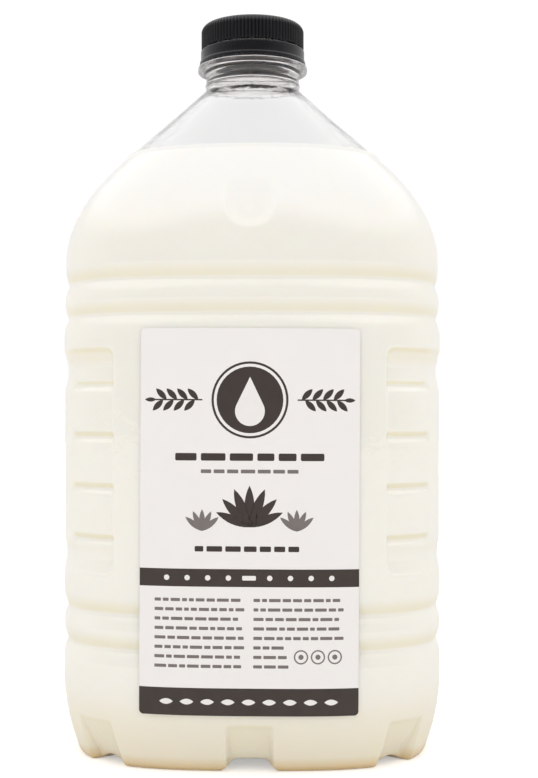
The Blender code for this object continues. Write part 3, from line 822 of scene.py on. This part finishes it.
def make_bottle_and_milk():
    """The jug's shell, and the milk whose side lies within the shell's wall."""
    angles = turn_angles()
    base = base_rings(angles)
    filled = np.array(base + side_rings(angles))
    cone = np.array(cone_rings(angles))
    outside = np.concatenate([filled, cone, np.array(round_rings(angles, neck_outline()))])
    outside = with_seam(outside)
    under_shoulder = np.concatenate([filled, cone])
    inner = sunk_in(under_shoulder, BLOWN_WALL)
    every_other = range(0, len(inner), 2)
    kept = np.array([i for i in every_other if inner[i, 0, 2] < BLOWN_WALL_TOP])
    inside = np.concatenate([np.array(round_rings(angles, bore_outline())), inner[kept][::-1]])
    shell = np.concatenate([outside, inside])
    outer_middle = (0, 0, float(outside[0, :, 2].mean()))
    inner_middle = (0, 0, float(inside[-1, :, 2].mean()))
    data = lofted("bottle_shell", shell, outer_middle, inner_middle)
    dressed("bottle_shell", data, clear_plastic(), ["bottle"])

    milk = sunk_in(under_shoulder, MILK_INTO_WALL)[: len(filled)]
    milk[-1, :, 2] = FILL_HEIGHT + MENISCUS_RISE
    milk[:-1, :, 2] = np.minimum(milk[:-1, :, 2], FILL_HEIGHT)
    edge = milk[-1]
    top = []
    for share in MENISCUS_SHARES:
        away = np.hypot(edge[:, 0], edge[:, 1])
        ring = edge * (1 - MENISCUS_WIDTH * share / away)[:, None]
        ring[:, 2] = FILL_HEIGHT + MENISCUS_RISE * (1 - share) ** MENISCUS_POWER
        top.append(ring)
    flat = top[-1]
    for scale in MILK_TOP_SCALES:
        ring = flat * scale
        ring[:, 2] = FILL_HEIGHT
        top.append(ring)
    grid = np.concatenate([milk, np.array(top)])
    data = lofted("milk_fill", grid, (0, 0, float(milk[0, :, 2].mean())), (0, 0, FILL_HEIGHT))
    dressed("milk_fill", data, whole_milk(), ["milk"], 40)


# The closure

def rib_wave(turns):
    """Rounded ribs side by side, 1 on each crest and 0 in each valley."""
    return ((1 + np.cos(turns)) / 2) ** CAP_RIB_ROUNDNESS


def make_cap():
    """The cap, as rings of (radius, height, share of the ribs), from its ceiling round to its face."""
    angles = np.linspace(0, FULL_TURN, CAP_RIB_COUNT * CAP_POINTS_PER_RIB, endpoint=False)
    ribs = (CAP_RIB_RADIUS - CAP_VALLEY_RADIUS) * rib_wave(angles * CAP_RIB_COUNT)
    outline = [(CAP_BORE_RADIUS, CAP_CEILING, 0.0), (CAP_BORE_RADIUS, CAP_BOTTOM + CAP_LIP, 0.0)]
    outline += [(CAP_BORE_RADIUS + CAP_LIP, CAP_BOTTOM, 0.0), (CAP_VALLEY_RADIUS - CAP_LIP, CAP_BOTTOM, 0.0)]
    outline += [(CAP_VALLEY_RADIUS, CAP_BOTTOM + rise, out) for rise, out in CAP_RIB_FOOT]
    outline += [(CAP_VALLEY_RADIUS, height, 1.0) for height in CAP_SIDE_HEIGHTS]
    roll_start = (CAP_VALLEY_RADIUS, CAP_ROLL_START)
    roll_corner = (CAP_VALLEY_RADIUS - CAP_ROLL_LEAN, CAP_TOP)
    roll = curve_between(roll_start, roll_corner, (CAP_FACE_RADIUS, CAP_TOP), 9)
    outline += [(radius, height, max(0.0, 1 - i / 5)) for i, (radius, height) in enumerate(roll)]
    outline += [(radius, CAP_TOP - drop, 0.0) for radius, drop in CAP_RECESS_EDGE]
    face = CAP_TOP - CAP_RECESS
    outline += [(radius, face, 0.0) for radius in CAP_RECESS_RINGS]
    rings = [level_ring(angles, radius + out * ribs, height) for radius, height, out in outline]
    data = lofted("ribbed_cap", np.array(rings), (0, 0, CAP_CEILING), (0, 0, face))
    dressed("ribbed_cap", data, black_plastic("black_cap_plastic", 0.36), ["cap"], 50)


def make_tamper_band():
    """The ring under the cap, with the little bridges that tie the two together."""
    angles = np.linspace(0, FULL_TURN, BAND_POINTS, endpoint=False)
    outline = [(BAND_BORE_RADIUS, BAND_BOTTOM), (BAND_BORE_RADIUS, BAND_TOP)]
    outline += rounded_top(BAND_TOP_RADIUS, BAND_TOP, BAND_TOP_ROUNDING, 4)[::-1]
    outline += BAND_STEP
    foot = (BAND_FOOT_RADIUS, BAND_BOTTOM + BAND_FOOT_ROUNDING)
    foot_end = (BAND_FOOT_RADIUS - BAND_FOOT_ROUNDING, BAND_BOTTOM)
    outline += curve_between(foot, (BAND_FOOT_RADIUS, BAND_BOTTOM), foot_end, 5)
    grid = np.array(round_rings(angles, outline[::-1]))[:, ::-1]
    data = lofted("tamper_ring", grid, closed=True)
    mesh = bmesh.new()
    mesh.from_mesh(data)
    thickness, width, tall = BRIDGE_SIZE
    for i in range(BRIDGES):
        turn = FULL_TURN * (i + 0.5) / BRIDGES
        for vert in bmesh.ops.create_cube(mesh, size=1.0)["verts"]:
            x = BRIDGE_RADIUS + BRIDGE_LEAN * (1 - vert.co.z) * 0.5 + vert.co.x * thickness
            y = vert.co.y * width
            z = (BAND_TOP + CAP_BOTTOM) / 2 + vert.co.z * tall
            vert.co = (x * math.cos(turn) - y * math.sin(turn), x * math.sin(turn) + y * math.cos(turn), z)
    data = bmesh_data("tamper_ring_bridged", mesh)
    plastic = black_plastic("black_band_plastic", 0.27)
    dressed("tamper_ring", data, plastic, ["tamper_band"], 40)


# The label

def on_front(across, up, lift):
    """A point of the label's plane wrapped on the jug's front."""
    middle = LABEL_BOTTOM + LABEL_HEIGHT / 2
    x = across * math.cos(LABEL_TILT) + up * math.sin(LABEL_TILT)
    z = middle - across * math.sin(LABEL_TILT) + up * math.cos(LABEL_TILT)
    share = abs(x / BODY_HALF_WIDTH) ** BODY_SQUARENESS
    front = BODY_HALF_DEPTH * (1 - share) ** (1 / BODY_SQUARENESS)
    return x, -front - lift, z


def wrapped(name, outlines, low, high):
    """Flat outlines, (across, up) in metres, cut into upright strips, thickened and wrapped on the front."""
    mesh = bmesh.new()
    for outline in outlines:
        mesh.faces.new([mesh.verts.new((x, z, 0)) for x, z in outline])
    bmesh.ops.triangulate(mesh, faces=mesh.faces)
    for x in np.arange(-LABEL_WIDTH / 2, LABEL_WIDTH / 2, LABEL_STRIP)[1:]:
        geometry = mesh.verts[:] + mesh.edges[:] + mesh.faces[:]
        bmesh.ops.bisect_plane(mesh, geom=geometry, plane_co=(x, 0, 0), plane_no=(1, 0, 0))
    made = bmesh.ops.extrude_face_region(mesh, geom=mesh.faces[:])["geom"]
    risen = {item for item in made if isinstance(item, bmesh.types.BMVert)}
    for vert in mesh.verts:
        vert.co = on_front(vert.co.x, vert.co.y, high if vert in risen else low)
    return bmesh_data(name, mesh)


def rectangle(left, bottom, right, top, corner=0.0):
    """A rectangle in millimetres, its corners rounded where asked."""
    if not corner:
        square = ((left, bottom), (right, bottom), (right, top), (left, top))
        return [(x / MM_PER_M, z / MM_PER_M) for x, z in square]
    points = []
    centres = ((right - corner, bottom + corner, -90), (right - corner, top - corner, 0))
    centres += ((left + corner, top - corner, 90), (left + corner, bottom + corner, 180))
    for x, z, start in centres:
        for turn in range(start, start + 91, 15):
            angle = math.radians(turn)
            points.append((x + corner * math.cos(angle), z + corner * math.sin(angle)))
    return [(px / MM_PER_M, pz / MM_PER_M) for px, pz in points]


def disc(x, z, radius, points=40):
    """A circle in millimetres."""
    turns = [FULL_TURN * i / points for i in range(points)]
    points = [(x + radius * math.cos(t), z + radius * math.sin(t)) for t in turns]
    return [(px / MM_PER_M, pz / MM_PER_M) for px, pz in points]


def drop(x, z, radius):
    """A plain pointed drop in millimetres."""
    points = [(x, z + 2.3 * radius)]
    for turn in range(30, -211, -12):
        angle = math.radians(turn)
        points.append((x + radius * math.cos(angle), z + radius * math.sin(angle)))
    return [(px / MM_PER_M, pz / MM_PER_M) for px, pz in points]


def leaf(x, z, length, turn, width):
    """A plain pointed leaf in millimetres, growing from (x, z) at a turn in degrees."""
    points = []
    for side in (1, -1):
        shares = np.linspace(0, 1, 9) if side == 1 else np.linspace(1, 0, 9)[1:-1]
        for share in shares:
            points.append((share * length, side * width * length * math.sin(math.pi * share) ** 0.8 / 2))
    angle = math.radians(turn)
    return [
        (
            (x + a * math.cos(angle) - b * math.sin(angle)) / MM_PER_M,
            (z + a * math.sin(angle) + b * math.cos(angle)) / MM_PER_M,
        )
        for a, b in points
    ]


def ring_outline(x, z, outer, inner):
    """A ring in millimetres, as a run of short quads."""
    quads = []
    turns = [FULL_TURN * i / RING_SPANS for i in range(RING_SPANS + 1)]
    for a, b in zip(turns, turns[1:]):
        corners = ((outer, a), (outer, b), (inner, b), (inner, a))
        points = [(x + r * math.cos(t), z + r * math.sin(t)) for r, t in corners]
        quads.append([(px / MM_PER_M, pz / MM_PER_M) for px, pz in points])
    return quads


def dashes(rng, left, right, middle, height, lengths, gap):
    """A row of plain dashes in millimetres, of mixed lengths, filling the space from left to right."""
    bars, start = [], left
    while start < right - lengths[0]:
        end = min(right, start + float(rng.uniform(*lengths)))
        bars.append(rectangle(start, middle - height / 2, end, middle + height / 2, height * 0.2))
        start = end + gap
    return bars


def foot_bar():
    """The label's lowest bar: round corners below, square ones above."""
    outline = rectangle(-HALF_ACROSS, -HALF_UP, HALF_ACROSS, FOOT_BAR_TOP, LABEL_CORNER * MM_PER_M)
    middle = (FOOT_BAR_TOP - HALF_UP) / 2 / MM_PER_M
    return [(x, FOOT_BAR_TOP / MM_PER_M) if z > middle else (x, z) for x, z in outline]


def sprig(side):
    """A stalk beside the roundel with staggered leaves and one at its tip."""
    shapes = []
    for along in SPRIG_LEAF_STARTS:
        upper, lower = 90 - side * SPRIG_LEAN, -90 + side * SPRIG_LEAN
        shapes.append(leaf(side * along, ROUNDEL_HEIGHT, SPRIG_LEAF, upper, SPRIG_LEAF_WIDTH))
        staggered = side * (along + SPRIG_STAGGER)
        shapes.append(leaf(staggered, ROUNDEL_HEIGHT, SPRIG_LEAF, lower, SPRIG_LEAF_WIDTH))
    tip, length = SPRIG_TIP
    shapes.append(leaf(side * tip, ROUNDEL_HEIGHT, length, 90 - side * 90, SPRIG_LEAF_WIDTH))
    near, far, half = SPRIG_STALK
    left, right = sorted((side * near, side * far))
    shapes.append(rectangle(left, ROUNDEL_HEIGHT - half, right, ROUNDEL_HEIGHT + half))
    return shapes


def dark_print(rng):
    """The two bars, the roundel with its sprigs, the wide dashes and the big leaf tuft."""
    shapes = [rectangle(-HALF_ACROSS, UPPER_BAR[0], HALF_ACROSS, UPPER_BAR[1]), foot_bar()]
    shapes += ring_outline(0, ROUNDEL_HEIGHT, *ROUNDEL_RING)
    shapes += [disc(0, ROUNDEL_HEIGHT, ROUNDEL_RADIUS)]
    shapes += sprig(-1) + sprig(1)
    shapes += dashes(rng, *WIDE_ROW)
    for turn in BIG_TUFT_TURNS:
        length = 11.5 + 3.0 * math.sin(math.radians(turn))
        shapes.append(leaf(0, BIG_TUFT_HEIGHT, length, turn, 0.24))
    return shapes + dashes(rng, *LOW_ROW)


def grey_print(rng):
    """The fine dashes, the small leaf tufts, the two columns of dashes and the little rings."""
    shapes = dashes(rng, *FINE_ROW)
    across, height = SMALL_TUFT
    for side in (-1, 1):
        shapes += [leaf(side * across, height, 7.6, turn, 0.26) for turn in SMALL_TUFT_TURNS]
    rows = [(LEFT_COLUMN, height) for height in ROW_HEIGHTS]
    rows += [(RIGHT_COLUMN, height) for height in ROW_HEIGHTS[:FULL_ROWS]]
    rows += [(RIGHT_COLUMN_SHORT, height) for height in ROW_HEIGHTS[FULL_ROWS:]]
    for (left, right), height in rows:
        shapes += dashes(rng, left, right, height, *COLUMN_ROW)
    for across in LITTLE_RINGS:
        shapes += ring_outline(across, LITTLE_RING_HEIGHT, 2.5, 2.0)
        shapes.append(disc(across, LITTLE_RING_HEIGHT, 0.9, 20))
    return shapes


def pale_print():
    """The drop in the roundel, the dots in the upper bar and the leaves in the lower one."""
    shapes = [drop(0, DROP_HEIGHT, DROP_RADIUS)]
    for i in range(-4, 5):
        if i:
            shapes.append(disc(BAR_SPACING * i, BAR_DOT_HEIGHT, 0.95, 20))
        shapes.append(leaf(BAR_SPACING * i - 2.4, FOOT_LEAF_HEIGHT, 4.8, 0, 0.42))
    half, rise = BAR_DASH
    shapes.append(rectangle(-half, BAR_DOT_HEIGHT - rise, half, BAR_DOT_HEIGHT + rise, 0.4))
    return shapes


def printed(name, shapes, lift, ink):
    """Lays shapes on the label as one film of ink."""
    dressed(name, wrapped(name, shapes, lift, lift + INK_LIFT), ink, (), 40)


def make_label():
    sheet = [rectangle(-HALF_ACROSS, -HALF_UP, HALF_ACROSS, HALF_UP, LABEL_CORNER * MM_PER_M)]
    paper_top = LABEL_LIFT + LABEL_PAPER
    paper = wrapped("label_sheet", sheet, LABEL_LIFT, paper_top)
    dressed("label_sheet", paper, coated_paper(), ["label"], 40)
    rng = np.random.default_rng(PRINT_SEED)
    dark = printing_ink("brown_black_ink", (0.052, 0.036, 0.028), (0.038, 0.026, 0.021))
    printed("label_dark_print", dark_print(rng), paper_top, dark)
    grey = printing_ink("grey_ink", (0.215, 0.185, 0.175), (0.165, 0.140, 0.132))
    printed("label_grey_print", grey_print(rng), paper_top, grey)
    pale = printing_ink("paper_white_ink", (0.84, 0.81, 0.79), (0.87, 0.84, 0.82))
    printed("label_pale_print", pale_print(), paper_top + INK_LIFT, pale)


# Stage

def make_floor():
    """A pale floor that glows a little where it is seen, so that it is white as far as the walls."""
    material, nodes, links, shader = new_material("pale_floor")
    _, grain = grained(nodes, links, shader, 0.0001, grain_size=0.002, swell_size=0.3, swell_share=0.5)
    links.new(
        mixed(nodes, links, grain.outputs["Mottle"], FLOOR_COLOUR, tuple(c + 0.02 for c in FLOOR_COLOUR)),
        shader.inputs["Base Color"],
    )
    shader.inputs["Roughness"].default_value = 0.7
    ray = nodes.new("ShaderNodeLightPath")
    seen = node(nodes, "ShaderNodeMath", operation="MAXIMUM")
    links.new(ray.outputs["Is Camera Ray"], seen.inputs[0])
    links.new(ray.outputs["Is Transmission Ray"], seen.inputs[1])
    shader.inputs["Emission Color"].default_value = (1, 1, 1, 1)
    links.new(ranged(nodes, links, seen.outputs[0], 0.0, FLOOR_GLOW), shader.inputs["Emission Strength"])
    mesh = bmesh.new()
    bmesh.ops.create_grid(mesh, x_segments=8, y_segments=8, size=6.0)
    data = bmesh_data("floor", mesh)
    data.materials.append(material)
    floor = bpy.data.objects.new("floor", data)
    bpy.context.scene.collection.objects.link(floor)


def make_room():
    """A white studio. Where the gloss mirrors it, it is brightest overhead and dim behind the camera."""
    world = bpy.data.worlds.new("white_studio")
    bpy.context.scene.world = world
    world.use_nodes = True
    nodes, links = world.node_tree.nodes, world.node_tree.links
    around = nodes.new("ShaderNodeTexCoord")
    split = nodes.new("ShaderNodeSeparateXYZ")
    links.new(around.outputs["Generated"], split.inputs[0])
    up, back = split.outputs["Z"], split.outputs["Y"]
    shading = ranged(nodes, links, up, ROOM_SIDES, ROOM_OVERHEAD, *OVERHEAD_EDGE, kind="SMOOTHSTEP")
    walls = ranged(nodes, links, back, MIRRORED_FRONT, MIRRORED_BACK, *FRONT_EDGE, kind="SMOOTHSTEP")
    aside = node(nodes, "ShaderNodeMath", operation="ABSOLUTE")
    links.new(split.outputs["X"], aside.inputs[0])
    capped = node(nodes, "ShaderNodeMath", operation="MINIMUM")
    links.new(aside.outputs[0], capped.inputs[0])
    capped.inputs[1].default_value = MIRRORED_ASIDE
    leaned = node(nodes, "ShaderNodeMath", operation="MULTIPLY_ADD")
    links.new(capped.outputs[0], leaned.inputs[0])
    leaned.inputs[1].default_value = MIRRORED_SPREAD
    links.new(up, leaned.inputs[2])
    up_high = ranged(nodes, links, leaned.outputs[0], 0.0, 1.0, *MIRRORED_EDGE, kind="SMOOTHSTEP")
    mirrored = node(nodes, "ShaderNodeMix", data_type="FLOAT")
    links.new(up_high, mirrored.inputs[0])
    links.new(walls, mirrored.inputs[2])
    mirrored.inputs[3].default_value = MIRRORED_OVERHEAD
    ray = nodes.new("ShaderNodeLightPath")
    strength = shading
    for share, shown in (
        ("Is Glossy Ray", mirrored.outputs[0]),
        ("Is Transmission Ray", SEEN_THROUGH),
        ("Is Camera Ray", SEEN_BEHIND),
    ):
        choose = node(nodes, "ShaderNodeMix", data_type="FLOAT")
        links.new(ray.outputs[share], choose.inputs[0])
        links.new(strength, choose.inputs[2])
        if isinstance(shown, float):
            choose.inputs[3].default_value = shown
        else:
            links.new(shown, choose.inputs[3])
        strength = choose.outputs[0]
    nodes["Background"].inputs["Color"].default_value = (1.0, 0.996, 0.992, 1)
    links.new(strength, nodes["Background"].inputs["Strength"])


def make_camera():
    """A level camera in front, turned a little to the right, framed with a small shift."""
    camera = bpy.data.cameras.new("camera")
    camera.lens = CAMERA_LENS
    camera.sensor_width = CAMERA_SENSOR
    camera.shift_x, camera.shift_y = CAMERA_SHIFT
    placed_camera = bpy.data.objects.new("camera", camera)
    bpy.context.scene.collection.objects.link(placed_camera)
    aside, ahead = math.sin(CAMERA_TURN), math.cos(CAMERA_TURN)
    placed_camera.location = (CAMERA_DISTANCE * aside, -CAMERA_DISTANCE * ahead, CAMERA_HEIGHT)
    placed_camera.rotation_euler = (math.pi / 2, 0, CAMERA_TURN)
    bpy.context.scene.camera = placed_camera


make_bottle_and_milk()
make_cap()
make_tamper_band()
make_label()
make_floor()
make_room()
make_camera()
bpy.context.scene.view_settings.view_transform = "Standard"
